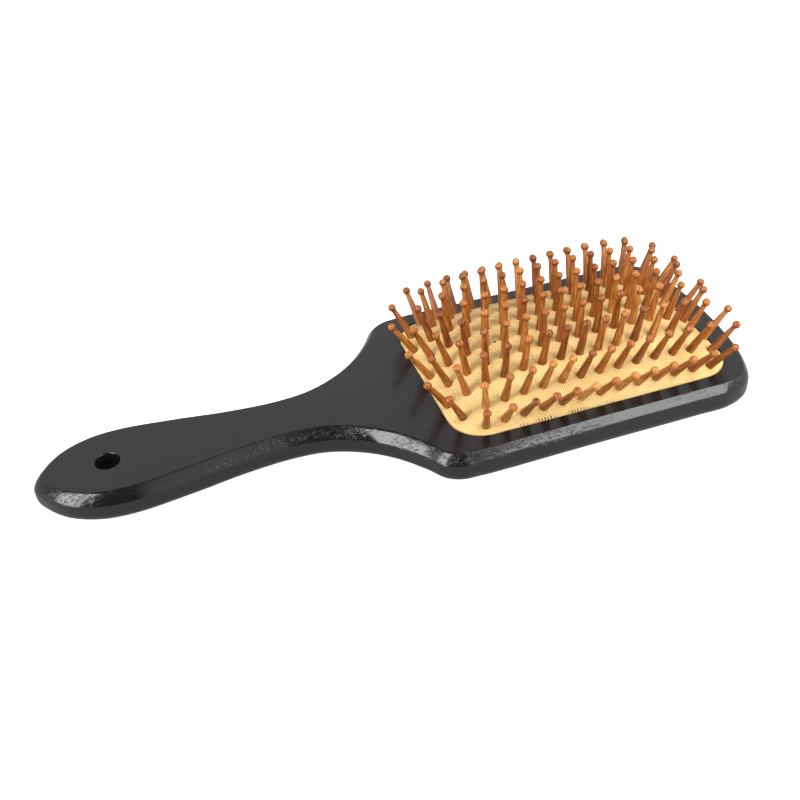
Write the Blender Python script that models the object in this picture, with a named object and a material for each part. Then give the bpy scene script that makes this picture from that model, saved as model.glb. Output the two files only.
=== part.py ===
"""Wooden paddle brush: a one-piece paddle with a domed air cushion that carries turned wooden pins.

Frame, in metres: origin at the centre of the footprint on the flat back, +X towards the head end,
+Z up through the pins.  The handle lies on -X and the brush is mirrored about the XZ plane.
"""
import math

import bmesh
import bpy
from mathutils import Vector
from mathutils.geometry import delaunay_2d_cdt

MM = 0.001

# ---- paddle: one board of wood, overall 250 x 89 x 10 ------------------------------------------
THICK = 10.7                 # board thickness
EDGE_STEPS = (               # rounded edge as (inset from the outline, height above the back)
    (3.0, 0.0), (0.85, 1.1), (0.0, 3.5), (0.4, 6.0), (1.15, 8.0), (2.2, 9.85), (3.2, 10.7))
EDGE_EASE, EASE_FROM, EASE_OVER = 0.28, 5.0, 15.0   # the rounding is this much narrower on the head
END_X = -125.4               # butt of the handle
TIP_X = 125.4                # end of the head
HANDLE_SHAPE = (             # handle end, belly, neck and flared shoulder: (x, half width)
    (-122.0, 7.0), (-115.6, 13.4), (-105.7, 17.8), (-94.4, 18.9), (-75.4, 16.7), (-56.9, 13.7),
    (-40.0, 12.5), (-28.2, 13.9), (-16.6, 19.2), (-7.9, 26.2), (-0.7, 34.9), (4.0, 41.8))
HEAD_SHAPE = (               # shoulder corner, straight side and rounded end of the head
    (9.2, 44.5), (15.5, 44.9), (56.0, 44.5), (97.0, 44.3), (108.7, 44.0), (117.5, 40.0),
    (122.3, 30.2), (124.8, 14.6))
OUTLINE_SUBDIV = 3           # spline segments between two neighbouring shape points
HANG_X, HANG_R = -100.2, 4.25    # hanging hole through the handle end
HANG_BREAK = 0.6             # broken edge round the hanging hole
HANG_SIDES = 16

# ---- seat routed into the head for the cushion ---------------------------------------------------
PAD_CX = 63.2                # centre of the cushion along X
PAD_A, PAD_B = 51.5, 36.5    # half length and half width of the visible cushion
PAD_CORNER = 12.0            # corner radius of the cushion
SEAT_GAP = 0.3               # clearance between cushion edge and seat wall
LEDGE_Z = 7.65               # height of the ledge the cushion edge is glued to
LEDGE_W = 1.9                # width of that ledge
FLOOR_Z = 3.4                # floor of the air chamber
CORNER_SEGS = 6
SIDE_SEGS = (6, 8)           # segments along the short and the long sides of the seat

# ---- cushion: rubber sheet with a woven facing, domed by trapped air -------------------------------
CROWN = 10.75                # rise of the dome above its edge
CROWN_BACK, CROWN_FRONT, CROWN_SIDE = 3.2, 5.5, 3.2   # how flat-topped it is to -X, +X and Y
EDGE_DROP = 0.25             # edge of the facing lies this far below the face of the board
FACING_T = 0.5               # woven facing
BOND_GAP = 0.35              # bond line between facing and rubber
RUBBER_T = 1.5               # rubber sheet
HOLE_CLEAR = 0.3             # clearance round each pin where it passes the sheets
SHEET_SIDES, FACING_SIDES, VENT_SIDES = 4, 6, 4     # sides of the holes in each sheet
VENT_X, VENT_R = 38.7, 0.6   # air vent through both sheets, on the middle line

# ---- pins: turned hardwood, ball tip, waist, tapered shank and flanged foot ------------------------
ROW_Y = (0.0, 9.1, 17.7, 26.4, 33.0)        # distance of each pin row from the middle line
PITCH = 7.0                  # pin spacing along a row
CORNER_SHIFT = 1.4           # end pins of the second row from each side stand this much further out
EDGE_SHIFT = 0.8             # the outermost rows stand this much nearer the head end
PIN_LEN = 15.05              # from the cushion face to the tip
LEAN_X = 0.90                # outward splay (tangent) along X, at the ends of the cushion
LEAN_Y, LEAN_EDGE = 0.86, 0.33   # outward splay along Y, and what the outermost rows add to it
LEAN_SOFTEN, LEAN_CORNER = 0.3, 0.5   # how far the splay along X and along Y eases at the corners
LEAN_ON = 0.08               # all pins lean this much towards the head end
PIN_SIDES = 5
SHANK_R, WAIST_R, BALL_R, CROWN_R = 1.55, 0.92, 1.5, 0.75
FOOT_R, FOOT_T = 2.1, 1.1
FOOT_CONE = 0.25             # height of the taper between foot and shank
FOOT_TOP = -2.95             # top of the foot, measured along the pin from the cushion face
WAIST_AT, BALL_AT = 11.5, 13.8   # stations along the pin, from the cushion face
STRIP_W, STRIP_T = 1.5, 0.7  # strip that holds three neighbouring feet together behind the rubber
STRIP_OVER = 0.6             # how far a strip runs past the middle of its outer feet
GROUP = 3                    # pins per strip

FLAT_ANGLE, PIN_ANGLE = 35, 80   # edges sharper than this are not shaded smooth, in degrees
BODY_COLOUR, PIN_COLOUR = (0.022, 0.021, 0.022), (0.44, 0.115, 0.024)
RUBBER_COLOUR, FABRIC_COLOUR = (0.36, 0.25, 0.13), (0.93, 0.67, 0.28)


# ---- plain geometry helpers -------------------------------------------------------------------------
def catmull_rom(pts, steps):
    """Points along a centripetal spline through pts, first and last point included."""
    out = []
    ext = [2 * Vector(pts[0]) - Vector(pts[1])] + [Vector(p) for p in pts]
    ext.append(2 * Vector(pts[-1]) - Vector(pts[-2]))
    for p0, p1, p2, p3 in zip(ext, ext[1:], ext[2:], ext[3:]):
        t1 = (p1 - p0).length ** 0.5
        t2 = t1 + (p2 - p1).length ** 0.5
        t3 = t2 + (p3 - p2).length ** 0.5
        for k in range(steps):
            t = t1 + (t2 - t1) * k / steps
            a1 = p0.lerp(p1, t / t1)
            a2 = p1.lerp(p2, (t - t1) / (t2 - t1))
            a3 = p2.lerp(p3, (t - t2) / (t3 - t2))
            b1 = a1.lerp(a2, t / t2)
            b2 = a2.lerp(a3, (t - t1) / (t3 - t1))
            out.append(b1.lerp(b2, (t - t1) / (t2 - t1)))
    out.append(Vector(pts[-1]))
    return out


def board_outline():
    """Closed outline of the paddle, counter-clockwise, starting at the handle butt."""
    half = [(END_X, 0.0)] + [tuple(p) for p in HANDLE_SHAPE + HEAD_SHAPE] + [(TIP_X, 0.0)]
    mirror = [(x, -y) for x, y in reversed(half[1:])]
    around = mirror[-2:] + half + mirror[1:3]
    spline = catmull_rom(around, OUTLINE_SUBDIV)
    start, count = 2 * OUTLINE_SUBDIV, (len(half) - 1) * OUTLINE_SUBDIV
    upper = spline[start:start + count + 1]
    upper[0].y = upper[-1].y = 0.0
    lower = [Vector((p.x, -p.y)) for p in upper[1:-1]]
    return lower + [upper[-1]] + upper[-2:0:-1] + [upper[0]]


def inset(loop, distance):
    """Move every point of a counter-clockwise loop inwards."""
    out = []
    n = len(loop)
    for i, p in enumerate(loop):
        a = (p - loop[i - 1]).normalized()
        b = (loop[(i + 1) % n] - p).normalized()
        na, nb = Vector((-a.y, a.x)), Vector((-b.y, b.x))
        m = (na + nb).normalized()
        out.append(p + m * distance / max(m.dot(na), 0.5))
    return out


def seat_outline(grow):
    """Rounded rectangle of the cushion seat, counter-clockwise, grown by the given distance."""
    a, b, r = PAD_A + grow, PAD_B + grow, PAD_CORNER + grow
    arcs = []
    for k, (sx, sy) in enumerate(((1, -1), (1, 1), (-1, 1), (-1, -1))):
        cx, cy = PAD_CX + sx * (a - r), sy * (b - r)
        turns = [math.radians(90 * (k - 1 + s / CORNER_SEGS)) for s in range(CORNER_SEGS + 1)]
        arcs.append([Vector((cx + r * math.cos(t), cy + r * math.sin(t))) for t in turns])
    pts = []
    for k, arc in enumerate(arcs):
        segs = SIDE_SEGS[k % 2]
        pts += arc
        pts += [arc[-1].lerp(arcs[(k + 1) % 4][0], s / segs) for s in range(1, segs)]
    return pts


def circle(cx, cy, r, sides, phase=0.0):
    return [Vector((cx + r * math.cos(phase + 2 * math.pi * k / sides),
                    cy + r * math.sin(phase + 2 * math.pi * k / sides))) for k in range(sides)]


def triangulate(outer, holes, extra=()):
    """Triangles over a region with holes; points are numbered outer, holes, extra."""
    pts = list(outer)
    faces = [list(range(len(outer)))]
    for h in holes:
        faces.append(list(range(len(pts), len(pts) + len(h))))
        pts += h
    edges = [(f[i - 1], f[i]) for f in faces for i in range(len(f))]
    pts += list(extra)
    verts, _, tris, _, _, _ = delaunay_2d_cdt([Vector(p) for p in pts], edges, [], 0, 1e-6)
    assert len(verts) == len(pts)
    keep = []
    for t in tris:
        c = (verts[t[0]] + verts[t[1]] + verts[t[2]]) / 3
        if inside(c, outer) and not any(inside(c, h) for h in holes):
            keep.append(tuple(t))
    return pts, keep, faces


def inside(p, loop):
    hit = False
    for i in range(len(loop)):
        a, b = loop[i - 1], loop[i]
        if (a.y > p.y) != (b.y > p.y) and p.x < (b.x - a.x) * (p.y - a.y) / (b.y - a.y) + a.x:
            hit = not hit
    return hit


def make_object(name, verts, faces, look):
    """Mesh object from millimetre points, with consistent outward normals."""
    bm = bmesh.new()
    vs = [bm.verts.new(Vector(v) * MM) for v in verts]
    for f in faces:
        bm.faces.new([vs[i] for i in f])
    bmesh.ops.triangulate(bm, faces=bm.faces[:])
    bmesh.ops.recalc_face_normals(bm, faces=bm.faces[:])
    mesh = bpy.data.meshes.new(name)
    bm.to_mesh(mesh)
    bm.free()
    obj = bpy.data.objects.new(name, mesh)
    bpy.context.scene.collection.objects.link(obj)
    mesh.materials.append(look)
    shade(mesh, FLAT_ANGLE)
    return obj


def shade(mesh, angle):
    """Smooth shading, with edges sharper than the angle kept crisp."""
    mesh.shade_smooth()
    mesh.set_sharp_from_angle(angle=math.radians(angle))


def principled(name, colour, roughness, metallic=0.0):
    mat = bpy.data.materials.new(name)
    mat.use_nodes = True
    shader = mat.node_tree.nodes["Principled BSDF"]
    shader.inputs["Base Color"].default_value = (*colour, 1.0)
    shader.inputs["Roughness"].default_value = roughness
    shader.inputs["Metallic"].default_value = metallic
    return mat


# ---- dome ---------------------------------------------------------------------------------------------
def edge_share(x):
    """Share of the full rounding width that the edge of the board has at x."""
    return 1 - EDGE_EASE * min(max((x - EASE_FROM) / EASE_OVER, 0.0), 1.0)


def dome(x, y):
    """Height of the cushion face at a point of the plan."""
    u = min(abs(x - PAD_CX) / PAD_A, 1.0)
    v = min(abs(y) / PAD_B, 1.0)
    ends = CROWN_FRONT if x > PAD_CX else CROWN_BACK
    return THICK - EDGE_DROP + CROWN * (1 - u ** ends) * (1 - v ** CROWN_SIDE)


def dome_slope(x, y):
    """Slope of the cushion face along X and along Y."""
    d = 0.05
    return ((dome(x + d, y) - dome(x - d, y)) / (2 * d),
            (dome(x, y + d) - dome(x, y - d)) / (2 * d))


def pin_axis(x, y):
    """Foot-to-tip direction of the pin that passes the dome at (x, y)."""
    u, v = (x - PAD_CX) / PAD_A, y / PAD_B
    lean_x = math.copysign(LEAN_X * u ** 4 * (1 - LEAN_SOFTEN * v ** 4), u)
    lean_x += LEAN_ON * (1 - max(u, 0.0) ** 4)
    lean_y = (LEAN_Y * v ** 2 + LEAN_EDGE * v ** 8) * (1 - LEAN_CORNER * u ** 4)
    return Vector((lean_x, math.copysign(lean_y, v), 1.0)).normalized()


def pin_rows():
    """Rows from -Y to +Y; each is the list of (x, y) where its pins cross the dome."""
    rows = []
    for r in range(-4, 5):
        y = math.copysign(ROW_Y[abs(r)], r)
        if r % 2:
            count = 14
        else:
            count = 13 if abs(r) == 4 else 15
        row = []
        for i in range(count):
            x = PAD_CX + PITCH * (i - (count - 1) / 2)
            if abs(r) == 3 and i in (0, count - 1):
                x += math.copysign(CORNER_SHIFT, x - PAD_CX)
            if abs(r) == 4:
                x += EDGE_SHIFT
            row.append((x, y))
        rows.append(row)
    return rows


# ---- parts --------------------------------------------------------------------------------------------
def build_paddle(look):
    outline = board_outline()
    n = len(outline)
    verts, faces = [], []
    rings = []
    for depth, z in EDGE_STEPS:
        share = [edge_share(p.x) for p in outline]
        loop = [p.lerp(q, k) for p, q, k in zip(outline, inset(outline, depth), share)]
        rings.append(list(range(len(verts), len(verts) + n)))
        verts += [(p.x, p.y, z) for p in loop]

    def wall(lower, upper):
        for i in range(len(lower)):
            faces.append((lower[i - 1], lower[i], upper[i], upper[i - 1]))

    def add_loop(loop, z):
        ids = list(range(len(verts), len(verts) + len(loop)))
        verts.extend((p.x, p.y, z) for p in loop)
        return ids

    for lower, upper in zip(rings, rings[1:]):
        wall(lower, upper)
    bore = circle(HANG_X, 0.0, HANG_R, HANG_SIDES)
    mouth = circle(HANG_X, 0.0, HANG_R + HANG_BREAK, HANG_SIDES)
    seat = seat_outline(SEAT_GAP)
    chamber = seat_outline(-LEDGE_W)

    mouth_top, mouth_low = add_loop(mouth, THICK), add_loop(mouth, 0.0)
    bore_top, bore_low = add_loop(bore, THICK - HANG_BREAK), add_loop(bore, HANG_BREAK)
    seat_top, seat_low = add_loop(seat, THICK), add_loop(seat, LEDGE_Z)
    chamber_top, chamber_low = add_loop(chamber, LEDGE_Z), add_loop(chamber, FLOOR_Z)

    def cap(outer_ids, hole_ids):
        ids = list(outer_ids) + [i for h in hole_ids for i in h]
        flat = [Vector(verts[i][:2]) for i in ids]
        start = len(outer_ids)
        holes = []
        for h in hole_ids:
            holes.append(flat[start:start + len(h)])
            start += len(h)
        _, tris, _ = triangulate(flat[:len(outer_ids)], holes)
        faces.extend(tuple(ids[k] for k in t) for t in tris)

    cap(rings[-1], [mouth_top, seat_top])
    cap(rings[0], [mouth_low])
    wall(mouth_top, bore_top)
    wall(bore_top, bore_low)
    wall(bore_low, mouth_low)
    wall(seat_top, seat_low)
    cap(seat_low, [chamber_top])
    wall(chamber_top, chamber_low)
    cap(chamber_low, [])
    return make_object("paddle_body", verts, faces, look)


def build_sheet(name, top_drop, thickness, sides, look):
    """Domed sheet with a hole for every pin; each hole leans with its pin."""
    outer = seat_outline(0.0)
    drops = (top_drop, top_drop + thickness)
    levels = []
    for drop in drops:
        holes = []
        for row in pin_rows():
            for x, y in row:
                ax = pin_axis(x, y)
                gx, gy = dome_slope(x, y)
                t = -drop / (1 - (gx * ax.x + gy * ax.y) / ax.z)
                cx, cy = x + ax.x / ax.z * t, y + ax.y / ax.z * t
                r = (SHANK_R + HOLE_CLEAR) / math.cos(math.pi / sides)
                holes.append(circle(cx, cy, r, sides, math.pi / sides))
        holes.append(circle(VENT_X, 0.0, VENT_R, VENT_SIDES, math.pi / VENT_SIDES))
        levels.append(holes)
    pts, tris, loops = triangulate(outer, levels[0])
    low = list(outer) + [p for h in levels[1] for p in h]
    n = len(pts)
    verts = [(p.x, p.y, dome(p.x, p.y) - drops[0]) for p in pts]
    verts += [(p.x, p.y, dome(p.x, p.y) - drops[1]) for p in low]
    faces = list(tris) + [(c + n, b + n, a + n) for a, b, c in tris]
    for loop in loops:
        for i in range(len(loop)):
            a, b = loop[i - 1], loop[i]
            faces.append((a, b, b + n, a + n))
    return make_object(name, verts, faces, look)


def pin_shell(verts, faces, x, y):
    """One turned pin as a closed shell of rings along its leaning axis; returns its foot centre."""
    base = Vector((x, y, dome(x, y)))
    axis = pin_axis(x, y)
    side = axis.cross(Vector((0, 1, 0))).normalized()
    other = axis.cross(side)
    profile = ((FOOT_TOP - FOOT_T, FOOT_R), (FOOT_TOP, FOOT_R), (FOOT_TOP + FOOT_CONE, SHANK_R),
               (WAIST_AT, WAIST_R), (BALL_AT, BALL_R), (PIN_LEN, CROWN_R))
    first = len(verts)
    for at, r in profile:
        for k in range(PIN_SIDES):
            t = 2 * math.pi * k / PIN_SIDES
            verts.append(base + axis * at + (side * math.cos(t) + other * math.sin(t)) * r)
    for ring in range(len(profile) - 1):
        for k in range(PIN_SIDES):
            a = first + ring * PIN_SIDES + k
            b = first + ring * PIN_SIDES + (k + 1) % PIN_SIDES
            faces.append((a, b, b + PIN_SIDES, a + PIN_SIDES))
    faces.append(tuple(range(first, first + PIN_SIDES)))
    faces.append(tuple(range(len(verts) - PIN_SIDES, len(verts))))
    return base + axis * (FOOT_TOP - FOOT_T / 2)


def strip_shell(feet):
    """Flat strip through the middles of neighbouring feet."""
    verts, faces = [], []
    path = list(feet)
    path[0] = path[0] + (path[0] - path[1]).normalized() * STRIP_OVER
    path[-1] = path[-1] + (path[-1] - path[-2]).normalized() * STRIP_OVER
    for p in path:
        for sy, sz in ((-1, -1), (1, -1), (1, 1), (-1, 1)):
            verts.append(p + Vector((0, sy * STRIP_W / 2, sz * STRIP_T / 2)))
    for s in range(len(path) - 1):
        for k in range(4):
            a, b = 4 * s + k, 4 * s + (k + 1) % 4
            faces.append((a, b, b + 4, a + 4))
    faces.append((0, 1, 2, 3))
    faces.append(tuple(range(len(verts) - 4, len(verts))))
    return verts, faces


def build_pins(name, spots, look):
    """Neighbouring pins of one row, held together by a strip through their feet."""
    verts, faces = [], []
    feet = [pin_shell(verts, faces, x, y) for x, y in spots]
    pins = make_object(name, verts, faces, look)
    strip = make_object(name + "_strip", *strip_shell(feet), look)
    union = pins.modifiers.new("strip", "BOOLEAN")
    union.operation = "UNION"
    union.solver = "EXACT"
    union.object = strip
    bpy.context.view_layer.update()
    graph = bpy.context.evaluated_depsgraph_get()
    joined = bpy.data.meshes.new_from_object(pins.evaluated_get(graph))
    pins.modifiers.clear()
    pins.data = joined
    joined.name = name
    shade(joined, PIN_ANGLE)
    bpy.data.objects.remove(strip)
    return pins


def set_pivot(obj, pivot):
    """Move the object origin to its joint axis without moving the geometry."""
    for v in obj.data.vertices:
        v.co -= pivot * MM
    obj.location = pivot * MM


def main():
    for obj in list(bpy.data.objects):
        bpy.data.objects.remove(obj)
    lacquer = principled("black_lacquer_wood", BODY_COLOUR, 0.28)
    rubber = principled("natural_rubber", RUBBER_COLOUR, 0.75)
    fabric = principled("cream_woven_fabric", FABRIC_COLOUR, 0.9)
    build_paddle(lacquer)
    sheet = build_sheet("cushion_sheet", FACING_T + BOND_GAP, RUBBER_T, SHEET_SIDES, rubber)
    facing = build_sheet("cushion_facing", 0.0, FACING_T, FACING_SIDES, fabric)
    for part in (sheet, facing):
        set_pivot(part, Vector((PAD_CX, 0.0, THICK)))
    for r, row in enumerate(pin_rows(), start=1):
        feet = [Vector((x, y, dome(x, y))) + pin_axis(x, y) * FOOT_TOP for x, y in row]
        pivot = Vector((PAD_CX, feet[len(feet) // 2].y, sum(f.z for f in feet) / len(feet)))
        groups = math.ceil(len(row) / GROUP)
        start = 0
        for g in range(groups):
            size = (len(row) - start + groups - g - 1) // (groups - g)
            name = "pins_row%d_%d" % (r, g + 1)
            wood = principled(name + "_wood", PIN_COLOUR, 0.5)
            part = build_pins(name, row[start:start + size], wood)
            set_pivot(part, pivot)
            start += size


main()
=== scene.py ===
"""Paddle brush on a pale studio floor: lacquered board, woven cushion and turned wooden pins."""
import math
import random

import bmesh
import bpy
import numpy as np
from mathutils import Matrix, Vector
from mathutils.geometry import delaunay_2d_cdt


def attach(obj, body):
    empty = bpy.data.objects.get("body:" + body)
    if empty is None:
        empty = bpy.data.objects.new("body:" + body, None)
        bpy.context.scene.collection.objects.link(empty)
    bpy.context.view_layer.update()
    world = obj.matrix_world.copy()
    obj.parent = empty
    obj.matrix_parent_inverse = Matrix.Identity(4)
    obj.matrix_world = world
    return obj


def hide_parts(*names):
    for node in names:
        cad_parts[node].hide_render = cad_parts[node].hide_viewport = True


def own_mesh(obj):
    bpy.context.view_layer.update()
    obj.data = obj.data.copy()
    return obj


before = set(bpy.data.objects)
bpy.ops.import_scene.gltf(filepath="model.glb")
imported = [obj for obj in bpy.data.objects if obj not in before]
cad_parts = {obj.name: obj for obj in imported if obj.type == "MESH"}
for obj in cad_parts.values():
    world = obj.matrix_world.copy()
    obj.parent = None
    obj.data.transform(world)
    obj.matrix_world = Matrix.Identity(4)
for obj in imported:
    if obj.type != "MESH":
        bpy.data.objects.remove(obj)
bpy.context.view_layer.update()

MM = 0.001

# ---- board, in millimetres -----------------------------------------------------------------------
THICK = 10.7
END_X, TIP_X = -125.4, 125.4
HANDLE_SHAPE = (
    (-122.0, 7.0), (-115.6, 13.4), (-105.7, 17.8), (-94.4, 18.9), (-75.4, 16.7), (-56.9, 13.7),
    (-40.0, 12.5), (-28.2, 13.9), (-16.6, 19.2), (-7.9, 26.2), (-0.7, 34.9), (4.0, 41.8))
HEAD_SHAPE = (
    (9.2, 44.5), (15.5, 44.9), (56.0, 44.5), (97.0, 44.3), (108.7, 44.0), (117.5, 40.0),
    (122.3, 30.2), (124.8, 14.6))
OUTLINE_SUBDIV = 12
EDGE_UPPER = (3.2, 4.5, 1.35)    # upper rounding: inset, height and exponent of its superellipse
EDGE_LOWER = (3.0, 3.5, 2.0)     # lower rounding
EDGE_EASE, EASE_FROM, EASE_OVER = 0.28, 5.0, 15.0    # the rounding is this much narrower on the head
EDGE_FLATTEN = 0.5           # share by which the upper rounding also loses height there
EDGE_RINGS = 12              # rings in each rounding
RIM_FADE = 0.15              # fall of the worn rim look for each millimetre in from the outline
FLAT_LOW, FLAT_TOP = 0.3, 0.25       # flat strip between each rounding and its face
HANG_X, HANG_R, HANG_ROUND = -100.2, 4.25, 0.35
HANG_SIDES = 64
HANG_STEPS, SEAT_STEPS = 5, 4        # steps in the small roundings of hole and seat

# ---- seat, cushion and pins, in millimetres ------------------------------------------------------
PAD_CX = 63.2
PAD_A, PAD_B, PAD_CORNER = 51.5, 36.5, 12.0
SEAT_GAP, SEAT_ROUND = 0.3, 0.35
LEDGE_Z, LEDGE_W, FLOOR_Z = 7.65, 1.9, 3.4
CORNER_SEGS, SIDE_STEP = 18, 1.6
CROWN = 10.75                # rise of the dome from its edge to its top
CROWN_BACK, CROWN_FRONT, CROWN_SIDE = 3.2, 5.5, 3.2  # exponents of its fall to handle, head, sides
EDGE_DROP = 0.25             # edge of the cushion below the face of the board
FACING_T, BOND_GAP, RUBBER_T = 0.5, 0.35, 1.5
VENT_X, VENT_R = 38.7, 0.6
VENT_SIDES = 12
ROW_Y = (0.0, 9.1, 17.7, 26.4, 33.0)                 # middle row, then outwards
PITCH, CORNER_SHIFT, EDGE_SHIFT = 7.0, 1.4, 0.8
LEAN_X, LEAN_Y, LEAN_EDGE = 0.90, 0.86, 0.33         # tangents of the outward lean at the edges
LEAN_SOFTEN, LEAN_CORNER, LEAN_ON = 0.3, 0.5, 0.08   # less lean in the corners, a little towards +X
PIN_LEN = 15.05              # from the cushion face to the tip
SHANK_R, WAIST_R, BALL_R = 1.50, 0.86, 1.43
FOOT_R, FOOT_T, FOOT_TOP = 2.1, 1.1, -2.95
FOOT_FILLET, WAIST_BELOW = 0.2, 0.25                 # lengths just above the foot and below the ball
SHANK_STEPS, BALL_STEPS = 8, 11
STRIP_W, STRIP_T, STRIP_OVER = 1.5, 0.7, 0.6         # strip that joins the feet of one piece
GROUP = 3                    # pins per piece
PIN_SIDES = 20
BALL_VARY, WAIST_VARY = 0.04, 0.06   # how much ball and waist differ from pin to pin, as shares

# ---- cloth, in millimetres -----------------------------------------------------------------------
FACING_STEP, RUBBER_STEP = 1.0, 2.4  # mesh spacing of the two sheets
ROW_SHARE = 0.866            # row spacing of the mesh, as a share of the point spacing
SIM_FRAMES = 20
HOLD_R = 1.6                 # the cloth is held within this radius of each pin
BULGE_CAP = 0.4              # largest shift that the simulation may give
GATHER_R, GATHER_DEPTH = 2.1, 0.35   # reach and depth of the dimple round each pin
TUCK_IN, TUCK_DOWN = 0.12, 0.9       # how far the edge of the cloth goes in and down the seat wall
WARP_PITCH, WEFT_PITCH = 0.72, 0.95
TICK_PITCH, TICK_IN = 1.10, 0.40     # dark ticks along the -Y edge, cut thread ends and painted shade where the cloth goes into the seat: spacing, distance inside it
TICK_FROM, TICK_FADE = (32.0, 34.0), (46.0, 80.0)    # where along X they start, and where they fade

# ---- colours, linear -----------------------------------------------------------------------------
LACQUER, DUST = (0.0055, 0.0052, 0.0055), (0.07, 0.068, 0.066)
FABRIC_LIGHT, FABRIC_DEEP = (0.68, 0.465, 0.195), (0.59, 0.39, 0.145)
# painted shade: the hollow colour darkens the weave between its ribs; the tick colour is partly cut
# thread ends, partly painted shade at the tucked edge
FABRIC_GROOVE_SHADE, FABRIC_THREAD_ENDS_AND_SHADE = (0.28, 0.165, 0.05), (0.035, 0.026, 0.018)
RUBBER_DARK, RUBBER_LIGHT = (0.30, 0.20, 0.10), (0.42, 0.30, 0.17)
# the second colour is painted shade under the ball of each pin
PIN_FLECK, PIN_NECK_SHADE = (0.16, 0.034, 0.008), (0.10, 0.024, 0.006)
PIN_TONES = ((0.0, (0.05, 0.013, 0.003)), (0.25, (0.16, 0.039, 0.006)),
             (0.55, (0.28, 0.087, 0.013)), (0.80, (0.40, 0.155, 0.030)), (1.0, (0.52, 0.25, 0.075)))
TONE_MEAN, TONE_SPREAD = 0.52, 0.11  # where on PIN_TONES a pin lies
DARK_PINS, DARK_TONE = 0.06, 0.26    # share of markedly darker pins, and their tone
SEED = 11

# ---- studio: places and sizes in metres ----------------------------------------------------------
PANELS = (                   # name, centre, aim, width, height, radiance
    ("front_panel", (0.275, -0.265, 0.212), (0.275, -0.045, -0.015), 0.27, 0.54, 6.3),
    ("left_panel", (-0.465, -0.19, 0.31), (-0.09, -0.097, 0.206), 0.29, 0.62, 10.5))
FILL = ("overhead_fill", (0.1, 0.0, 1.3), (0.05, 0.0, 0.0), 1.6, 1.6, 1.3)
STAGE_HALF, STAGE_Z = 4.0, -0.0002
STAGE_BOUNCE, STAGE_SEEN, STAGE_GLOW = 0.38, 0.5, 0.82
DIM, BACKDROP, FRONT_RIGHT, SEEN_WORLD = 0.06, 0.82, 1.1, 1.05   # strengths of the surroundings


# ---- plain geometry ------------------------------------------------------------------------------
def catmull_rom(pts, steps):
    """Points along a centripetal spline through pts, first and last point included."""
    out = []
    ext = [2 * Vector(pts[0]) - Vector(pts[1])] + [Vector(p) for p in pts]
    ext.append(2 * Vector(pts[-1]) - Vector(pts[-2]))
    for p0, p1, p2, p3 in zip(ext, ext[1:], ext[2:], ext[3:]):
        t1 = (p1 - p0).length ** 0.5
        t2 = t1 + (p2 - p1).length ** 0.5
        t3 = t2 + (p3 - p2).length ** 0.5
        for k in range(steps):
            t = t1 + (t2 - t1) * k / steps
            a1 = p0.lerp(p1, t / t1)
            a2 = p1.lerp(p2, (t - t1) / (t2 - t1))
            a3 = p2.lerp(p3, (t - t2) / (t3 - t2))
            b1 = a1.lerp(a2, t / t2)
            b2 = a2.lerp(a3, (t - t1) / (t3 - t1))
            out.append(b1.lerp(b2, (t - t1) / (t2 - t1)))
    out.append(Vector(pts[-1]))
    return out


def board_outline():
    """Closed outline of the board, counter-clockwise, starting at the handle butt."""
    half = [(END_X, 0.0)] + [tuple(p) for p in HANDLE_SHAPE + HEAD_SHAPE] + [(TIP_X, 0.0)]
    mirror = [(x, -y) for x, y in reversed(half[1:])]
    spline = catmull_rom(mirror[-2:] + half + mirror[1:3], OUTLINE_SUBDIV)
    start, count = 2 * OUTLINE_SUBDIV, (len(half) - 1) * OUTLINE_SUBDIV
    upper = spline[start:start + count + 1]
    upper[0].y = upper[-1].y = 0.0
    lower = [Vector((p.x, -p.y)) for p in upper[1:-1]]
    return lower + [upper[-1]] + upper[-2:0:-1] + [upper[0]]


def normals_of(loop):
    """Inward unit normal at every point of a counter-clockwise loop."""
    out = []
    for i, p in enumerate(loop):
        along = (loop[(i + 1) % len(loop)] - loop[i - 1]).normalized()
        out.append(Vector((-along.y, along.x)))
    return out


def seat_outline(grow):
    """Rounded rectangle of the cushion seat, counter-clockwise, grown by the given distance."""
    a, b, r = PAD_A + grow, PAD_B + grow, PAD_CORNER + grow
    arcs = []
    for k, (sx, sy) in enumerate(((1, -1), (1, 1), (-1, 1), (-1, -1))):
        cx, cy = PAD_CX + sx * (a - r), sy * (b - r)
        turns = [math.radians(90 * (k - 1 + s / CORNER_SEGS)) for s in range(CORNER_SEGS + 1)]
        arcs.append([Vector((cx + r * math.cos(t), cy + r * math.sin(t))) for t in turns])
    pts = []
    for k, arc in enumerate(arcs):
        half = PAD_B if k % 2 == 0 else PAD_A
        segs = round(2 * (half - PAD_CORNER) / SIDE_STEP)
        pts += arc
        pts += [arc[-1].lerp(arcs[(k + 1) % 4][0], s / segs) for s in range(1, segs)]
    return pts


def circle(cx, cy, r, sides):
    """Points of a circle, counter-clockwise."""
    turns = [2 * math.pi * k / sides for k in range(sides)]
    return [Vector((cx + r * math.cos(t), cy + r * math.sin(t))) for t in turns]


def inside(p, loop):
    """Whether a point lies inside a closed loop."""
    hit = False
    for i in range(len(loop)):
        a, b = loop[i - 1], loop[i]
        if (a.y > p.y) != (b.y > p.y) and p.x < (b.x - a.x) * (p.y - a.y) / (b.y - a.y) + a.x:
            hit = not hit
    return hit


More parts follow.
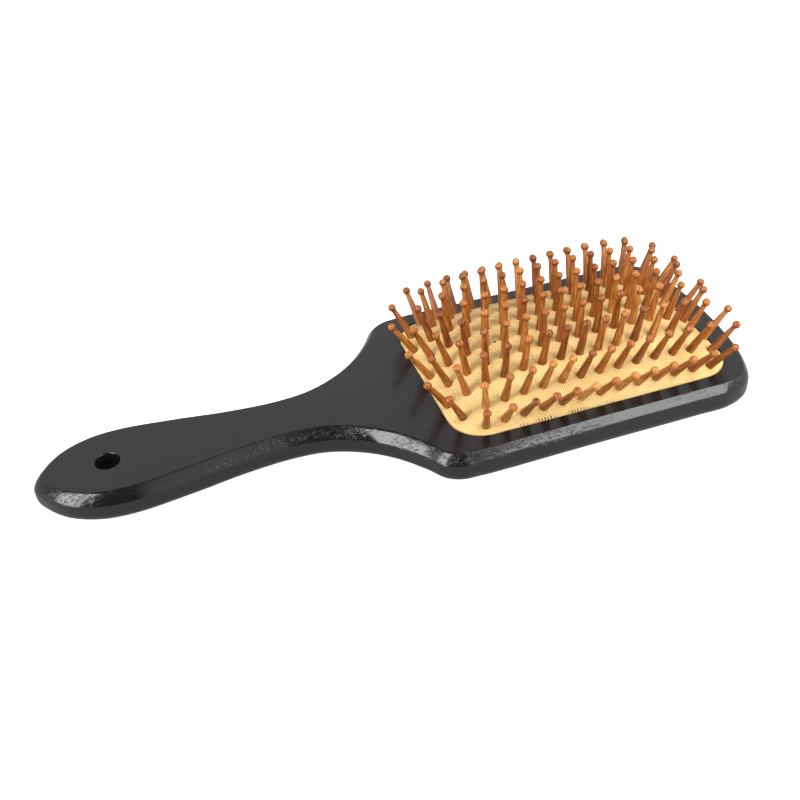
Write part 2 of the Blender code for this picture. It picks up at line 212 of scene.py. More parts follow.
def triangulate(outer, holes, extra=()):
    """Triangles over a region with holes; points are numbered outer, holes, extra."""
    pts = list(outer)
    loops = [list(range(len(outer)))]
    for h in holes:
        loops.append(list(range(len(pts), len(pts) + len(h))))
        pts += h
    edges = [(f[i - 1], f[i]) for f in loops for i in range(len(f))]
    pts += list(extra)
    verts, _, tris, _, _, _ = delaunay_2d_cdt([Vector(p) for p in pts], edges, [], 0, 1e-6)
    assert len(verts) == len(pts)
    keep = []
    for t in tris:
        c = (verts[t[0]] + verts[t[1]] + verts[t[2]]) / 3
        if inside(c, outer) and not any(inside(c, h) for h in holes):
            keep.append(tuple(t))
    return pts, keep, loops


def mesh_object(name, verts, faces, material, attributes=()):
    """Smooth-shaded object from millimetre points; attributes are (name, type, values)."""
    mesh = bpy.data.meshes.new(name)
    mesh.from_pydata([Vector(v) * MM for v in verts], [], faces)
    for label, kind, values in attributes:
        data = mesh.attributes.new(label, kind, "POINT").data
        key = "vector" if kind == "FLOAT_VECTOR" else "value"
        data.foreach_set(key, np.asarray(values, np.float32).ravel())
    bm = bmesh.new()
    bm.from_mesh(mesh)
    bmesh.ops.recalc_face_normals(bm, faces=bm.faces[:])
    bm.to_mesh(mesh)
    bm.free()
    mesh.shade_smooth()
    mesh.materials.append(material)
    obj = bpy.data.objects.new(name, mesh)
    bpy.context.scene.collection.objects.link(obj)
    return obj


def edge_share(x):
    """Share of the full rounding width that the edge of the board has at x."""
    return 1 - EDGE_EASE * min(max((x - EASE_FROM) / EASE_OVER, 0.0), 1.0)


def dome(x, y):
    """Height of the cushion face at a point of the plan."""
    u = min(abs(x - PAD_CX) / PAD_A, 1.0)
    v = min(abs(y) / PAD_B, 1.0)
    ends = CROWN_FRONT if x > PAD_CX else CROWN_BACK
    return THICK - EDGE_DROP + CROWN * (1 - u ** ends) * (1 - v ** CROWN_SIDE)


def pin_axis(x, y):
    """Foot-to-tip direction of the pin that passes the dome at (x, y)."""
    u, v = (x - PAD_CX) / PAD_A, y / PAD_B
    lean_x = math.copysign(LEAN_X * u ** 4 * (1 - LEAN_SOFTEN * v ** 4), u)
    lean_x += LEAN_ON * (1 - max(u, 0.0) ** 4)
    lean_y = (LEAN_Y * v ** 2 + LEAN_EDGE * v ** 8) * (1 - LEAN_CORNER * u ** 4)
    return Vector((lean_x, math.copysign(lean_y, v), 1.0)).normalized()


def pin_rows():
    """Rows from -Y to +Y; each is the list of (x, y) where its pins cross the dome."""
    rows = []
    for r in range(-4, 5):
        y = math.copysign(ROW_Y[abs(r)], r)
        count = 14 if r % 2 else (13 if abs(r) == 4 else 15)
        row = []
        for i in range(count):
            x = PAD_CX + PITCH * (i - (count - 1) / 2)
            if abs(r) == 3 and i in (0, count - 1):
                x += math.copysign(CORNER_SHIFT, x - PAD_CX)
            if abs(r) == 4:
                x += EDGE_SHIFT
            row.append((x, y))
        rows.append(row)
    return rows


# ---- node materials ------------------------------------------------------------------------------
class Nodes:
    """A short way to write a node tree."""

    def __init__(self, tree):
        self.tree = tree

    def add(self, kind, **settings):
        node = self.tree.nodes.new(kind)
        inputs = settings.pop("inputs", {})
        for key, value in settings.items():
            setattr(node, key, value)
        for key, value in inputs.items():
            self.put(node.inputs[key], value)
        return node

    def put(self, socket, value):
        if isinstance(value, bpy.types.NodeSocket):
            self.tree.links.new(value, socket)
        else:
            socket.default_value = value

    def math(self, op, a, b=0.0, c=0.0, clamp=False):
        node = self.add("ShaderNodeMath", operation=op, use_clamp=clamp)
        for socket, value in zip(node.inputs, (a, b, c)):
            self.put(socket, value)
        return node.outputs[0]

    def noise(self, vector, scale, detail=2.0, rough=0.5, distortion=0.0):
        node = self.add("ShaderNodeTexNoise", inputs={
            "Vector": vector, "Scale": scale, "Detail": detail, "Roughness": rough,
            "Distortion": distortion})
        return node.outputs["Fac"]

    def stretch(self, vector, scale):
        node = self.add("ShaderNodeVectorMath", operation="MULTIPLY")
        self.put(node.inputs[0], vector)
        node.inputs[1].default_value = scale
        return node.outputs[0]

    def span(self, value, low, high, to_low=0.0, to_high=1.0):
        node = self.add("ShaderNodeMapRange", inputs={
            "Value": value, "From Min": low, "From Max": high, "To Min": to_low,
            "To Max": to_high})
        return node.outputs[0]

    def mix(self, factor, a, b, blend="MIX"):
        node = self.add("ShaderNodeMix", data_type="RGBA", blend_type=blend)
        self.put(node.inputs[0], factor)
        for socket, value in ((node.inputs[6], a), (node.inputs[7], b)):
            self.put(socket, (*value, 1.0) if isinstance(value, tuple) else value)
        return node.outputs[2]

    def ramp(self, value, stops):
        node = self.add("ShaderNodeValToRGB")
        ramp = node.color_ramp
        while len(ramp.elements) < len(stops):
            ramp.elements.new(0.5)
        for element, (at, colour) in zip(ramp.elements, stops):
            element.position = at
            element.color = (*colour, 1.0)
        self.put(node.inputs[0], value)
        return node.outputs[0]

    def attribute(self, name, output="Fac"):
        return self.add("ShaderNodeAttribute", attribute_name=name).outputs[output]

    def bump(self, height, distance, strength=1.0, normal=None):
        node = self.add("ShaderNodeBump", inputs={
            "Height": height, "Distance": distance, "Strength": strength})
        if normal is not None:
            self.put(node.inputs["Normal"], normal)
        return node.outputs[0]


def new_material(name):
    """A material with its node writer, its shader and its object coordinates."""
    mat = bpy.data.materials.new(name)
    mat.use_nodes = True
    nodes = Nodes(mat.node_tree)
    shader = mat.node_tree.nodes["Principled BSDF"]
    coords = nodes.add("ShaderNodeTexCoord").outputs["Object"]
    return mat, nodes, shader, coords


def lacquer_material():
    """Black lacquer over wood: faint lengthwise pores, with pits and streaks on the upper rim."""
    mat, n, shader, co = new_material("black_lacquer")
    rim = n.attribute("rim")
    along = n.stretch(co, (1.0, 9.0, 9.0))
    pores = n.span(n.noise(along, 260.0, 4.0, 0.62), 0.60, 0.72)
    cloud = n.noise(n.stretch(co, (1.0, 2.5, 2.5)), 34.0, 3.0)
    streak = n.span(n.noise(n.stretch(co, (1.0, 4.0, 4.0)), 260.0, 3.0, 0.6), 0.57, 0.66)
    pits = n.span(n.noise(n.stretch(co, (1.0, 1.8, 1.8)), 640.0, 2.0, 0.55), 0.57, 0.66)
    upper = n.span(n.add("ShaderNodeSeparateXYZ", inputs={"Vector": co}).outputs[2], 0.0065, 0.0085)
    worn = n.math("MULTIPLY", n.span(cloud, 0.40, 0.54), upper)
    specks = n.span(n.noise(co, 1500.0, 1.0), 0.73, 0.78)
    dust = n.math("MULTIPLY", specks, n.span(n.noise(co, 60.0), 0.45, 0.6))
    colour = n.mix(n.math("MULTIPLY", dust, 0.25), LACQUER, DUST)
    n.put(shader.inputs["Base Color"], colour)
    rough = n.math("ADD", n.span(cloud, 0.3, 0.7, 0.20, 0.26), n.math("MULTIPLY", pores, 0.06))
    rough = n.math("SUBTRACT", rough, n.math("MULTIPLY", rim, 0.12))
    n.put(shader.inputs["Roughness"], n.math("ADD", rough, n.math("MULTIPLY", dust, 0.25)))
    shader.inputs["IOR"].default_value = 1.5
    fine = n.math("MULTIPLY", pores, -0.12)
    marks = n.math("MAXIMUM", n.math("MULTIPLY", streak, 0.6), n.math("MULTIPLY", pits, 0.7))
    rough_rim = n.math("MULTIPLY", n.math("MULTIPLY", rim, worn), marks)
    height = n.math("SUBTRACT", fine, rough_rim)
    waves = n.math("MULTIPLY", n.noise(n.stretch(co, (1.0, 2.0, 2.0)), 90.0, 1.0), 0.25)
    total = n.math("ADD", height, n.math("MULTIPLY", waves, rim))
    n.put(shader.inputs["Normal"], n.bump(total, 0.00016))
    return mat


def fabric_material():
    """Cream plain-weave cloth with fine ribs, with painted shade darkening the hollows between them in
    patches; along one edge, dark ticks stand for cut thread ends together with painted shade where the
    cloth goes down into the seat.
    """
    mat, n, shader, co = new_material("cream_weave")
    split = n.add("ShaderNodeSeparateXYZ", inputs={"Vector": co}).outputs
    wobble = n.math("MULTIPLY", n.noise(co, 220.0, 2.0), 0.9)
    wx = n.math("ADD", n.math("MULTIPLY", split[0], math.pi / (WARP_PITCH * MM)), wobble)
    wy = n.math("ADD", n.math("MULTIPLY", split[1], math.pi / (WEFT_PITCH * MM)), wobble)
    sx, sy = n.math("SINE", wx), n.math("SINE", wy)
    over = n.math("ABSOLUTE", n.math("MULTIPLY", sx, sy))
    rib = n.math("ABSOLUTE", sx)
    weave = n.math("ADD", n.math("MULTIPLY", over, 0.65), n.math("MULTIPLY", rib, 0.35))
    slub = n.noise(n.stretch(co, (0.35, 1.0, 1.0)), 900.0, 3.0, 0.6)
    height = n.math("ADD", weave, n.math("MULTIPLY", slub, 0.5))
    blot = n.noise(co, 75.0, 4.0, 0.6)
    base = n.mix(n.span(blot, 0.35, 0.65), FABRIC_DEEP, FABRIC_LIGHT)
    # painted shade: the hollows of the weave are coloured darker, more strongly in noise patches
    groove_shade_patches = n.span(n.noise(co, 55.0, 3.0, 0.6), 0.42, 0.62, 0.35, 0.95)
    groove_shade = n.math("MULTIPLY", n.span(weave, 0.05, 0.45, 1.0, 0.0), groove_shade_patches)
    shade = n.mix(groove_shade, base, FABRIC_GROOVE_SHADE)
    # cut thread ends and painted shade: dark ticks in a thin band just inside the -Y edge, spaced along X
    # and broken up by noise
    inboard = n.math("ADD", split[1], (PAD_B - TICK_IN) * MM)
    band = n.span(n.math("ABSOLUTE", inboard), 0.00030, 0.00050, 1.0, 0.0)
    wave = n.math("SINE", n.math("MULTIPLY", split[0], 2 * math.pi / (TICK_PITCH * MM)))
    comb = n.span(wave, 0.15, 0.5)
    starts = n.span(split[0], TICK_FROM[0] * MM, TICK_FROM[1] * MM)
    fades = n.span(split[0], TICK_FADE[0] * MM, TICK_FADE[1] * MM, 1.0, 0.15)
    reach = n.math("MULTIPLY", starts, fades)
    broken = n.span(n.noise(n.stretch(co, (1.0, 0.2, 0.2)), 160.0, 2.0), 0.38, 0.50, 0.25, 1.0)
    ends = n.math("MULTIPLY", n.math("MULTIPLY", comb, band), n.math("MULTIPLY", reach, broken))
    n.put(shader.inputs["Base Color"], n.mix(ends, shade, FABRIC_THREAD_ENDS_AND_SHADE))
    shader.inputs["Roughness"].default_value = 0.85
    shader.inputs["Specular IOR Level"].default_value = 0.25
    shader.inputs["Sheen Weight"].default_value = 0.12
    shader.inputs["Sheen Roughness"].default_value = 0.4
    dents = n.bump(n.noise(n.stretch(co, (1.0, 1.3, 1.0)), 250.0, 2.0, 0.5), 0.0009)
    n.put(shader.inputs["Normal"], n.bump(height, 0.00010, 0.9, dents))
    return mat


def rubber_material():
    """Matt natural rubber, moulded, with a faint mottle."""
    mat, n, shader, co = new_material("natural_rubber")
    mottle = n.noise(co, 180.0, 4.0, 0.6)
    n.put(shader.inputs["Base Color"], n.mix(mottle, RUBBER_DARK, RUBBER_LIGHT))
    n.put(shader.inputs["Roughness"], n.span(mottle, 0.3, 0.7, 0.62, 0.82))
    n.put(shader.inputs["Normal"], n.bump(n.noise(co, 900.0, 3.0), 0.00005))
    return mat


def pin_material():
    """Turned reddish hardwood: grain along each pin, every pin with its own tone, and painted shade on
    the underside of each ball.
    """
    mat, n, shader, _ = new_material("turned_pin_wood")
    grain_co = n.attribute("grain_co", "Vector")
    tone = n.attribute("tone")
    tip = n.attribute("tip")
    grain = n.noise(n.stretch(grain_co, (1.0, 9.0, 9.0)), 160.0, 5.0, 0.6)
    fleck = n.span(n.noise(n.stretch(grain_co, (1.0, 12.0, 12.0)), 420.0, 2.0), 0.56, 0.70)
    body = n.math("ADD", n.span(grain, 0.30, 0.70, -0.34, 0.34), tone)
    colour = n.ramp(body, PIN_TONES)
    colour = n.mix(n.math("MULTIPLY", fleck, 0.45), colour, PIN_FLECK)
    # painted shade: the top of the waist and the lower half of the ball are darkened
    neck_shade = n.math("MULTIPLY", tip, n.math("SUBTRACT", 1.0, tip))
    colour = n.mix(n.math("MULTIPLY", neck_shade, 2.6, clamp=True), colour, PIN_NECK_SHADE)
    n.put(shader.inputs["Base Color"], colour)
    n.put(shader.inputs["Roughness"], n.span(grain, 0.3, 0.7, 0.26, 0.44))
    shader.inputs["Specular IOR Level"].default_value = 0.34
    rings = n.noise(n.stretch(grain_co, (8.0, 0.6, 0.6)), 260.0, 2.0)
    height = n.math("ADD", grain, n.math("MULTIPLY", rings, 0.4))
    n.put(shader.inputs["Normal"], n.bump(height, 0.00008))
    return mat


# ---- board ---------------------------------------------------------------------------------------
def rounding(share, width, height, power):
    """(inset, height) along a superelliptic quarter, from its flat end at 0 to its upright end at 1."""
    t = 0.5 * math.pi * share
    return (width * (1 - math.sin(t) ** (2 / power)), height * math.cos(t) ** (2 / power))


def build_board(material):
    """One-piece board and handle with a rounded edge, a hanging hole and the cushion seat."""
    outline = board_outline()
    inward = normals_of(outline)
    verts, faces, rim = [], [], []

    def add_loop(loop, z, edge=0.0):
        """Add a ring at one height, or at a height for each of its points."""
        ids = list(range(len(verts), len(verts) + len(loop)))
        heights = z if isinstance(z, list) else [z] * len(loop)
        verts.extend((p.x, p.y, h) for p, h in zip(loop, heights))
        rim.extend([edge] * len(loop))
        return ids

    def wall(lower, upper):
        for i in range(len(lower)):
            faces.append((lower[i - 1], lower[i], upper[i], upper[i - 1]))

    def cap(outer_ids, hole_ids):
        ids = list(outer_ids) + [i for h in hole_ids for i in h]
        flat = [Vector(verts[i][:2]) for i in ids]
        loops, start = [], 0
        for group in [outer_ids] + list(hole_ids):
            loops.append(flat[start:start + len(group)])
            start += len(group)
        _, tris, _ = triangulate(loops[0], loops[1:])
        faces.extend(tuple(ids[k] for k in t) for t in tris)

    share = [edge_share(p.x) for p in outline]
    rings = []
    for k in range(EDGE_RINGS + 1):
        depth, rise = rounding(k / EDGE_RINGS, *EDGE_LOWER)
        loop = [p + m * depth * e for p, m, e in zip(outline, inward, share)]
        rings.append(add_loop(loop, EDGE_LOWER[1] - rise, 1.0 - RIM_FADE * depth))
    for k in range(EDGE_RINGS, -1, -1):
        depth, rise = rounding(k / EDGE_RINGS, *EDGE_UPPER)
        loop = [p + m * depth * e for p, m, e in zip(outline, inward, share)]
        heights = [THICK - (EDGE_UPPER[1] - rise) * (1 - EDGE_FLATTEN * (1 - e)) for e in share]
        rings.append(add_loop(loop, heights, 1.0 - RIM_FADE * depth))
    for lower, upper in zip(rings, rings[1:]):
        wall(lower, upper)

    def flat_loop(width, extra):
        return [p + m * (width * e + extra) for p, m, e in zip(outline, inward, share)]

    bottom = add_loop(flat_loop(EDGE_LOWER[0], FLAT_LOW), 0.0)
    top = add_loop(flat_loop(EDGE_UPPER[0], FLAT_TOP), THICK)
    wall(bottom, rings[0])
    wall(rings[-1], top)

    def mouth(centre_r, z, sign):
        """Rounded rim of the hanging hole, from the face inwards."""
        ids = [add_loop(circle(HANG_X, 0.0, centre_r + HANG_ROUND + 0.1, HANG_SIDES), z)]
        for k in range(HANG_STEPS + 1):
            t = math.radians(90 / HANG_STEPS * k)
            radius = centre_r + HANG_ROUND * (1 - math.sin(t))
            depth = HANG_ROUND * (1 - math.cos(t))
            ids.append(add_loop(circle(HANG_X, 0.0, radius, HANG_SIDES), z - sign * depth, 0.4))
        return ids

    upper_mouth, lower_mouth = mouth(HANG_R, THICK, 1), mouth(HANG_R, 0.0, -1)
    bore = upper_mouth + lower_mouth[::-1]
    for a, b in zip(bore, bore[1:]):
        wall(a, b)
    seat = [add_loop(seat_outline(SEAT_GAP + SEAT_ROUND + 0.2), THICK)]
    for k in range(SEAT_STEPS + 1):
        t = math.radians(90 / SEAT_STEPS * k)
        grow = SEAT_GAP + SEAT_ROUND * (1 - math.sin(t))
        seat.append(add_loop(seat_outline(grow), THICK - SEAT_ROUND * (1 - math.cos(t))))
    seat.append(add_loop(seat_outline(SEAT_GAP), LEDGE_Z))
    seat.append(add_loop(seat_outline(-LEDGE_W), LEDGE_Z))
    seat.append(add_loop(seat_outline(-LEDGE_W), FLOOR_Z))
    for a, b in zip(seat, seat[1:]):
        wall(a, b)
    cap(top, [upper_mouth[0], seat[0]])
    cap(bottom, [lower_mouth[0]])
    cap(seat[-1], [])
    obj = mesh_object("paddle", verts, faces, material, (("rim", "FLOAT", rim),))
    obj.data.set_sharp_from_angle(angle=math.radians(50))
    return obj


# ---- cushion -------------------------------------------------------------------------------------
def grid_points(step, margin):
    """Staggered points inside the cushion outline, clear of its edge and of the vent."""
    limit = seat_outline(-margin)
    pts = []
    rows = int(2 * PAD_B / (step * ROW_SHARE)) + 1
    for j in range(rows):
        y = -PAD_B + j * step * ROW_SHARE
        count = int(2 * PAD_A / step) + 1
        for i in range(count):
            p = Vector((PAD_CX - PAD_A + (i + 0.5 * (j % 2)) * step, y))
            if (p - Vector((VENT_X, 0.0))).length > VENT_R + 0.6 * step and inside(p, limit):
                pts.append(p)
    return pts


def sheet_surface(step, drop):
    """Triangulated dome, lowered by drop, with the vent hole."""
    outer = seat_outline(0.0)
    vent = circle(VENT_X, 0.0, VENT_R, VENT_SIDES)
    pts, tris, loops = triangulate(outer, [vent], grid_points(step, 0.7 * step))
    verts = [(p.x, p.y, dome(p.x, p.y) - drop) for p in pts]
    return verts, list(tris), loops


def inflate(obj, hold):
    """Relax the cloth under slight pressure in a short simulation, held at the pins and the edge."""
    group = obj.vertex_groups.new(name="hold")
    for i, w in enumerate(hold):
        if w > 0:
            group.add([i], float(w), "REPLACE")
    rest = np.array([v.co for v in obj.data.vertices])
    cloth = obj.modifiers.new("cloth", "CLOTH")
    cfg = cloth.settings
    cfg.quality = 6
    cfg.mass = 0.15
    cfg.tension_stiffness = cfg.compression_stiffness = 40.0
    cfg.shear_stiffness = 20.0
    cfg.bending_stiffness = 0.5
    cfg.use_pressure = True
    cfg.uniform_pressure_force = 4.0
    cfg.effector_weights.gravity = 0.0
    cfg.vertex_group_mass = "hold"
    cfg.pin_stiffness = 1.0
    cloth.collision_settings.use_collision = False
    cloth.point_cache.frame_start, cloth.point_cache.frame_end = 1, SIM_FRAMES
    scene = bpy.context.scene
    for f in range(1, SIM_FRAMES + 1):
        scene.frame_set(f)
    graph = bpy.context.evaluated_depsgraph_get()
    co = np.array([v.co for v in obj.evaluated_get(graph).data.vertices])
    scene.frame_set(1)
    obj.modifiers.clear()
    obj.vertex_groups.clear()
    shift = co - rest
    shift[~np.isfinite(shift)] = 0.0
    length = np.linalg.norm(shift, axis=1)
    print("cloth: largest shift %.3f mm, mean %.3f mm" % (length.max() * 1e3, length.mean() * 1e3))
    shift *= np.minimum(1.0, BULGE_CAP * MM / np.maximum(length, 1e-12))[:, None]
    obj.data.vertices.foreach_set("co", (rest + shift).astype(np.float32).ravel())
    obj.data.update()


def build_facing(material):
    """Woven facing of the cushion, dimpled round every pin and tucked in at its edge."""
    verts, faces, loops = sheet_surface(FACING_STEP, 0.0)
    edge = loops[0]
    spots = np.array([p for row in pin_rows() for p in row])
    plan = np.array(verts)[:, :2]
    near = np.sqrt(((plan[:, None, :] - spots[None]) ** 2).sum(2)).min(1)
    hold = (near < HOLD_R).astype(float)
    hold[edge] = 1.0
    hold[loops[1]] = 1.0
    obj = mesh_object("cushion_cover", verts, faces, material)
    inflate(obj, hold)
    co = np.array([v.co for v in obj.data.vertices]) / MM
    co[:, 2] -= GATHER_DEPTH * np.exp(-(near / GATHER_R) ** 2)
    co[edge, 2] = THICK - EDGE_DROP
    tuck = np.array(seat_outline(-TUCK_IN))
    low = np.column_stack([tuck, np.full(len(tuck), THICK - EDGE_DROP - TUCK_DOWN)])
    bpy.data.objects.remove(obj)
    first = len(co)
    verts = [tuple(p) for p in co] + [tuple(p) for p in low]
    for i in range(len(edge)):
        faces.append((edge[i - 1], edge[i], first + i, first + (i - 1) % len(edge)))
    obj = mesh_object("cushion_cover", verts, faces, material)
    thicken(obj, FACING_T * 0.9)
    return obj


def build_rubber(material):
    """Rubber sheet under the facing."""
    verts, faces, _ = sheet_surface(RUBBER_STEP, FACING_T + BOND_GAP + GATHER_DEPTH)
    obj = mesh_object("cushion_rubber", verts, faces, material)
    thicken(obj, RUBBER_T - GATHER_DEPTH)
    return obj


def thicken(obj, thickness):
    """Give an open sheet its thickness on the underside."""
    if obj.data.polygons[0].normal.z < 0:
        obj.data.flip_normals()
    solid = obj.modifiers.new("thickness", "SOLIDIFY")
    solid.thickness = thickness * MM
    solid.offset = -1.0
    bpy.context.view_layer.update()
    graph = bpy.context.evaluated_depsgraph_get()
    mesh = bpy.data.meshes.new_from_object(obj.evaluated_get(graph))
    obj.modifiers.clear()
    obj.data = mesh
    mesh.name = obj.name
    mesh.shade_smooth()
    mesh.set_sharp_from_angle(angle=math.radians(60))


# ---- pins ----------------------------------------------------------------------------------------
def pin_profile(rng):
    """(station along the pin, radius, tip share) rings of one turned pin, foot to tip.

    The tip share rises from 0 to 1 over the ball and places the painted shade, a dark ring, on the lower
    half of the ball.
    """
    foot = FOOT_TOP - FOOT_T
    rings = [(foot, 0.0, 0), (foot, FOOT_R, 0), (FOOT_TOP, FOOT_R, 0)]
    rings += [(FOOT_TOP + FOOT_FILLET, SHANK_R, 0), (0.0, SHANK_R, 0)]
    ball_r = BALL_R * rng.uniform(1 - BALL_VARY, 1 + BALL_VARY)
    waist = WAIST_R * rng.uniform(1 - WAIST_VARY, 1 + WAIST_VARY)
    centre = PIN_LEN - ball_r
    meet = centre - math.sqrt(ball_r ** 2 - waist ** 2)
    for k in range(1, SHANK_STEPS + 1):
        s = k / SHANK_STEPS
        rings.append((s * (meet - WAIST_BELOW), waist + (SHANK_R - waist) * (1 - s) ** 0.9, 0))
    start = math.asin(waist / ball_r)
    rings.append((meet - 0.05, waist * 1.03, 0.3))
    for k in range(1, BALL_STEPS + 1):
        t = start + 0.10 + (math.pi - start - 0.10) * k / BALL_STEPS
        t_in = math.pi - t
        rings.append((centre + ball_r * math.cos(t_in), ball_r * math.sin(t_in), min(1.0, k / 4)))
    return rings


def build_pins(name, spots, material, rng):
    """Neighbouring pins of one row with the strip that joins their feet."""
    verts, faces, grain, tone, tip = [], [], [], [], []
    feet = []
    for x, y in spots:
        base = Vector((x, y, dome(x, y)))
        axis = pin_axis(x, y)
        side = axis.cross(Vector((0, 1, 0))).normalized()
        other = axis.cross(side)
        offset = Vector((rng.uniform(-1, 1), rng.uniform(-1, 1), rng.uniform(-1, 1)))
        shade = min(0.95, max(0.06, rng.gauss(TONE_MEAN, TONE_SPREAD)))
        if rng.random() < DARK_PINS:
            shade = DARK_TONE
        turn = rng.uniform(0, 2 * math.pi)
        rings = pin_profile(rng)
        previous = None
        for at, r, share in rings:
            count = 1 if r < 1e-6 else PIN_SIDES
            ids = list(range(len(verts), len(verts) + count))
            for k in range(count):
                t = turn + 2 * math.pi * k / PIN_SIDES
                local = (side * math.cos(t) + other * math.sin(t)) * r
                verts.append(base + axis * at + local)
                grain.append((at * MM + offset.x, r * math.cos(t) * MM + offset.y,
                              r * math.sin(t) * MM + offset.z))
                tone.append(shade)
                tip.append(share)
            if previous is not None:
                for k in range(PIN_SIDES):
                    a, b = previous[k % len(previous)], previous[(k + 1) % len(previous)]
                    c, d = ids[(k + 1) % count], ids[k % count]
                    face = tuple(dict.fromkeys((a, b, c, d)))
                    if len(face) > 2:
                        faces.append(face)
            previous = ids
        feet.append(base + axis * (FOOT_TOP - FOOT_T / 2))
    feet[0] = feet[0] + (feet[0] - feet[1]).normalized() * STRIP_OVER
    feet[-1] = feet[-1] + (feet[-1] - feet[-2]).normalized() * STRIP_OVER
    first = len(verts)
    for p in feet:
        for sy, sz in ((-1, -1), (1, -1), (1, 1), (-1, 1)):
            verts.append(p + Vector((0, sy * STRIP_W / 2, sz * STRIP_T / 2)))
            grain.append(tuple(p * MM))
            tone.append(0.5)
            tip.append(0.0)
    for s in range(len(feet) - 1):
        for k in range(4):
            a, b = first + 4 * s + k, first + 4 * s + (k + 1) % 4
            faces.append((a, b, b + 4, a + 4))
    faces.append((first, first + 1, first + 2, first + 3))
    faces.append(tuple(range(len(verts) - 4, len(verts))))
    obj = mesh_object(name, verts, faces, material, (
        ("grain_co", "FLOAT_VECTOR", grain), ("tone", "FLOAT", tone), ("tip", "FLOAT", tip)))
    obj.data.set_sharp_from_angle(angle=math.radians(50))
    return obj


# ---- the object ----------------------------------------------------------------------------------
paddle = build_board(lacquer_material())
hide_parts("paddle_body")
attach(paddle, "paddle")

for piece, node, slot in ((build_facing(fabric_material()), "cushion_facing", "cushion_fabric"),
                          (build_rubber(rubber_material()), "cushion_sheet", "cushion_rubber")):
    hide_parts(node)
    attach(piece, "paddle")
    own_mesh(piece)

pin_wood = pin_material()
rng = random.Random(SEED)
for r, row in enumerate(pin_rows(), start=1):
    groups = math.ceil(len(row) / GROUP)
    start = 0
    for g in range(groups):
        size = (len(row) - start + groups - g - 1) // (groups - g)
        node = "pins_row%d_%d" % (r, g + 1)
        piece = build_pins("wood_" + node, row[start:start + size], pin_wood, rng)
        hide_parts(node)
        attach(piece, "pin_row_%d" % r)
        start += size


# ---- studio --------------------------------------------------------------------------------------
def area_light(name, centre, aim, width, height, radiance):
    """Rectangular light that faces the point it is aimed at."""
    data = bpy.data.lights.new(name, "AREA")
    data.shape = "RECTANGLE"
    data.size, data.size_y = width, height
    data.energy = radiance * math.pi * width * height
    obj = bpy.data.objects.new(name, data)
    bpy.context.scene.collection.objects.link(obj)
    obj.location = centre
    obj.rotation_euler = (Vector(aim) - Vector(centre)).to_track_quat("-Z", "Y").to_euler()
    return obj


def build_floor():
    """Pale floor: white where it is looked at, a softer grey-white where it lights the object."""
    mat = bpy.data.materials.new("studio_floor")
    mat.use_nodes = True
    n = Nodes(mat.node_tree)
    tree = mat.node_tree
    tree.nodes.clear()
    diffuse = n.add("ShaderNodeBsdfDiffuse", inputs={"Color": (STAGE_BOUNCE,) * 3 + (1.0,)})
    seen = n.add("ShaderNodeBsdfDiffuse", inputs={"Color": (STAGE_SEEN,) * 3 + (1.0,)})
    glow = n.add("ShaderNodeEmission", inputs={"Color": (1, 1, 1, 1), "Strength": STAGE_GLOW})
    both = n.add("ShaderNodeAddShader")
    tree.links.new(seen.outputs[0], both.inputs[0])
    tree.links.new(glow.outputs[0], both.inputs[1])
    path = n.add("ShaderNodeLightPath")
    mixer = n.add("ShaderNodeMixShader")
    tree.links.new(path.outputs["Is Camera Ray"], mixer.inputs[0])
    tree.links.new(diffuse.outputs[0], mixer.inputs[1])
    tree.links.new(both.outputs[0], mixer.inputs[2])
    out = n.add("ShaderNodeOutputMaterial")
    tree.links.new(mixer.outputs[0], out.inputs[0])
    mesh = bpy.data.meshes.new("floor")
    corners = [(x * STAGE_HALF, y * STAGE_HALF, STAGE_Z) for x, y in ((-1, -1), (1, -1), (1, 1), (-1, 1))]
    mesh.from_pydata(corners, [], [(0, 1, 2, 3)])
    mesh.materials.append(mat)
    floor = bpy.data.objects.new("floor", mesh)
    bpy.context.scene.collection.objects.link(floor)


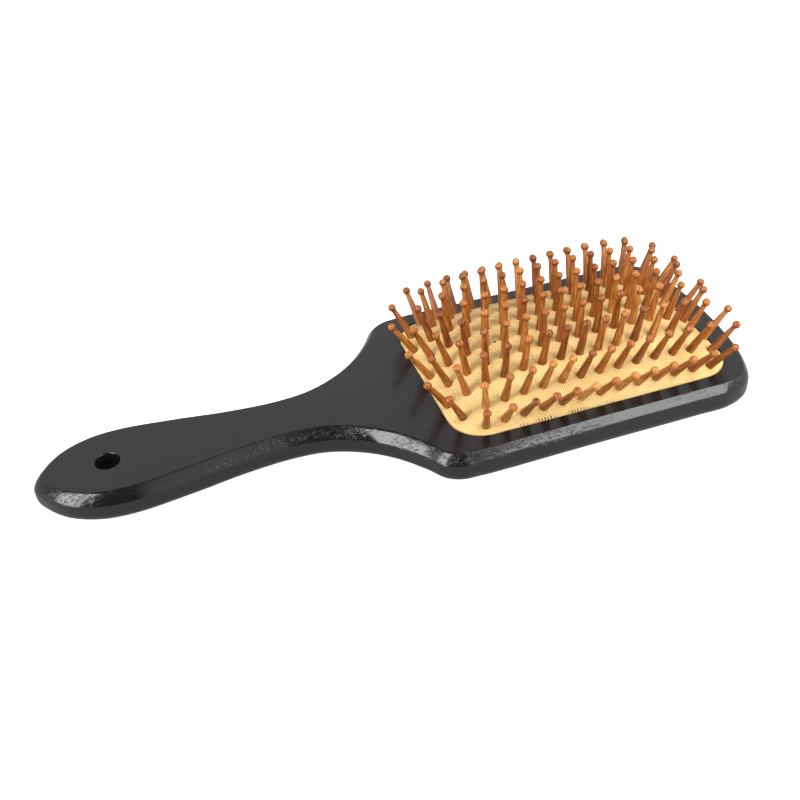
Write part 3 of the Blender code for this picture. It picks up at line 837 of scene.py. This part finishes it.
def build_world():
    """Pale backdrop behind the object up to mid height, a brighter front right, dim elsewhere."""
    world = bpy.data.worlds.new("studio")
    bpy.context.scene.world = world
    world.use_nodes = True
    n = Nodes(world.node_tree)
    direction = n.add("ShaderNodeTexCoord").outputs["Generated"]
    split = n.add("ShaderNodeSeparateXYZ", inputs={"Vector": direction}).outputs
    low = n.span(split[2], 0.70, 0.76, 1.0, 0.0)
    behind = n.span(split[1], -0.15, 0.25)
    backdrop = n.span(n.math("MULTIPLY", low, behind), 0.0, 1.0, DIM, BACKDROP)
    front_right = n.math("MULTIPLY", n.span(split[0], 0.02, 0.20), n.span(split[1], 0.35, -0.10))
    lit = n.math("MAXIMUM", backdrop, n.math("MULTIPLY", front_right, FRONT_RIGHT))
    camera = n.add("ShaderNodeLightPath").outputs["Is Camera Ray"]
    strength = n.math("MAXIMUM", lit, n.math("MULTIPLY", camera, SEEN_WORLD))
    background = world.node_tree.nodes["Background"]
    background.inputs["Color"].default_value = (1, 1, 1, 1)
    n.put(background.inputs["Strength"], strength)


build_floor()
build_world()
for panel in PANELS:
    area_light(*panel)
fill = area_light(*FILL)
fill.visible_glossy = False

# ---- camera --------------------------------------------------------------------------------------
AZIMUTH, ELEVATION, ROLL = math.radians(-15.741), math.radians(37.445), math.radians(-4.555)
DISTANCE, TARGET = 0.40143, Vector((0.002381, 0.000148, 0.005))
FOCAL = 50.81
back = Vector((math.sin(AZIMUTH) * math.cos(ELEVATION), -math.cos(AZIMUTH) * math.cos(ELEVATION),
               math.sin(ELEVATION)))
right = Vector((math.cos(AZIMUTH), math.sin(AZIMUTH), 0.0))
up = back.cross(right)
axis_x = right * math.cos(ROLL) + up * math.sin(ROLL)
axis_y = up * math.cos(ROLL) - right * math.sin(ROLL)
camera_data = bpy.data.cameras.new("camera")
camera_data.lens = FOCAL
camera_data.sensor_width = 36.0
camera_data.clip_start = 0.01
camera = bpy.data.objects.new("camera", camera_data)
bpy.context.scene.collection.objects.link(camera)
turn = Matrix((axis_x, axis_y, back)).transposed().to_4x4()
camera.matrix_world = Matrix.Translation(TARGET + back * DISTANCE) @ turn
bpy.context.scene.camera = camera
bpy.context.scene.view_settings.view_transform = "Standard"

bpy.context.view_layer.update()
